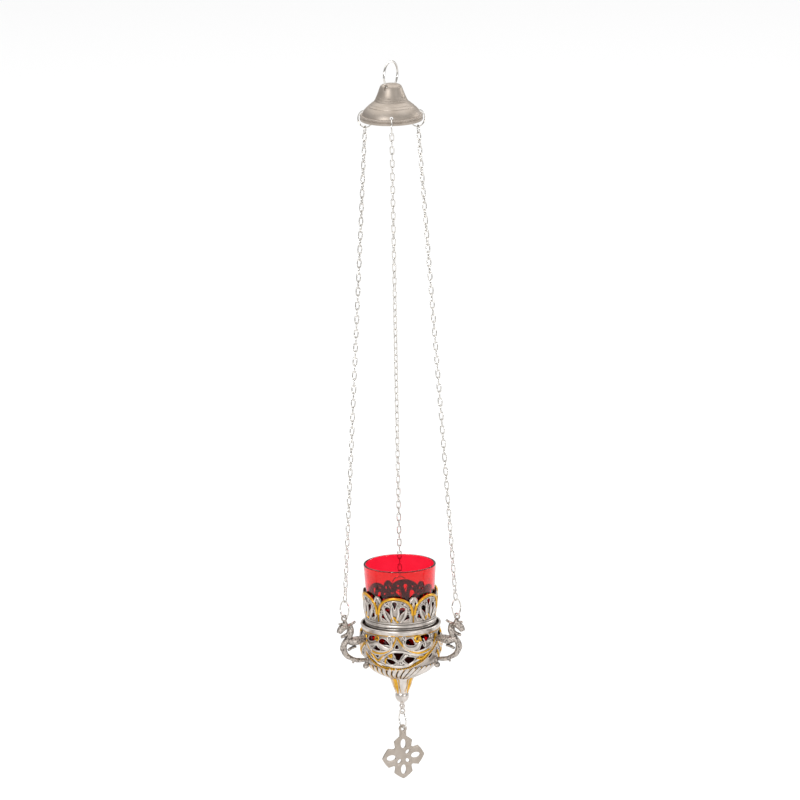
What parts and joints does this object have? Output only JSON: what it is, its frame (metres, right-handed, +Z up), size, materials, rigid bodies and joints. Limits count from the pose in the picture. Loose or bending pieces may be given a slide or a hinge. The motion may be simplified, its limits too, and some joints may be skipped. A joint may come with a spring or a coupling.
{
  "type": "sanctuary lamp",
  "caption": "Hanging sanctuary lamp: bell cap on a ring, chains to griffin handles, pierced urn bowl with scalloped gallery, red glass cup, fluted foot and pendant cross.",
  "frame": {"origin": "inside top of the hanging ring, where the hook bears", "axes": "+Z up along the lamp's axis, -Y towards the viewer, +X to the right"},
  "size_m": [0.1152, 0.1031, 0.6595],
  "materials": {
    "plated_wire": "satin silver plate",
    "satin_cap": "brushed satin silver plate",
    "satin_cross": "satin silver plate",
    "antique_silver": "cast, with dark patina in the recesses",
    "antique_silver_gilt": "cast silver plate with gilt edges and dark patina",
    "red_glass": "clear red pressed glass"
  },
  "bodies": {
    "hanging_ring": {"hanging_ring": "plated_wire"},
    "cap": {"cap": "satin_cap", "ring_pin": "plated_wire"},
    "chain_left": {"cap_ring_left": "plated_wire", "chain_left": "plated_wire", "handle_ring_left": "plated_wire"},
    "chain_right": {"cap_ring_right": "plated_wire", "chain_right": "plated_wire", "handle_ring_right": "plated_wire"},
    "chain_back": {"cap_ring_back": "plated_wire", "chain_back": "plated_wire", "handle_ring_back": "plated_wire"},
    "bowl": {"bowl": "antique_silver_gilt", "gallery": "antique_silver_gilt", "handle_left": "antique_silver", "handle_right": "antique_silver", "handle_back": "antique_silver", "handle_screws": "plated_wire", "calyx": "antique_silver_gilt", "finial": "antique_silver", "finial_stud": "plated_wire", "finial_washer": "plated_wire", "finial_nut": "plated_wire"},
    "glass": {"glass": "red_glass"},
    "pendant_ring": {"pendant_ring": "plated_wire"},
    "pendant_cross": {"pendant_cross": "satin_cross"}
  },
  "joints": [
    {"name": "cap_swing", "type": "hinge", "parent": "hanging_ring", "child": "cap", "pos_m": [0, 0, -0.02115], "axis": [0.866, -0.5, 0], "range_deg": [-10, 10]},
    {"name": "lamp_sway", "type": "hinge", "parent": "cap", "child": "chain_back", "pos_m": [0, -0.0262, -0.04635], "axis": [0, 1, 0], "range_deg": [-5, 5]},
    {"name": "chain_left_sway", "type": "hinge", "parent": "cap", "child": "chain_left", "pos_m": [-0.02269, 0.0131, -0.04635], "axis": [0, 1, 0], "range_deg": [-5, 5]},
    {"name": "chain_right_sway", "type": "hinge", "parent": "cap", "child": "chain_right", "pos_m": [0.02269, 0.0131, -0.04635], "axis": [0, 1, 0], "range_deg": [-5, 5]},
    {"name": "bowl_level", "type": "hinge", "parent": "chain_back", "child": "bowl", "pos_m": [0, 0.0582, -0.49835], "axis": [0, 1, 0], "range_deg": [-3, 3]},
    {"name": "glass_lift", "type": "slide", "parent": "bowl", "child": "glass", "axis": [0, 0, 1], "range_m": [0, 0.06]},
    {"name": "pendant_ring_swing", "type": "hinge", "parent": "bowl", "child": "pendant_ring", "pos_m": [0, 0, -0.59725], "axis": [0.9135, 0.4067, 0], "range_deg": [-30, 30]},
    {"name": "pendant_cross_swing", "type": "hinge", "parent": "pendant_ring", "child": "pendant_cross", "pos_m": [0, 0, -0.61045], "axis": [0.4067, -0.9135, 0], "range_deg": [-30, 30]}
  ],
  "couplings": [
    {"joint": "chain_left_sway", "follows": "lamp_sway", "ratio": 1},
    {"joint": "chain_right_sway", "follows": "lamp_sway", "ratio": 1},
    {"joint": "bowl_level", "follows": "lamp_sway", "ratio": -0.4502}
  ]
}
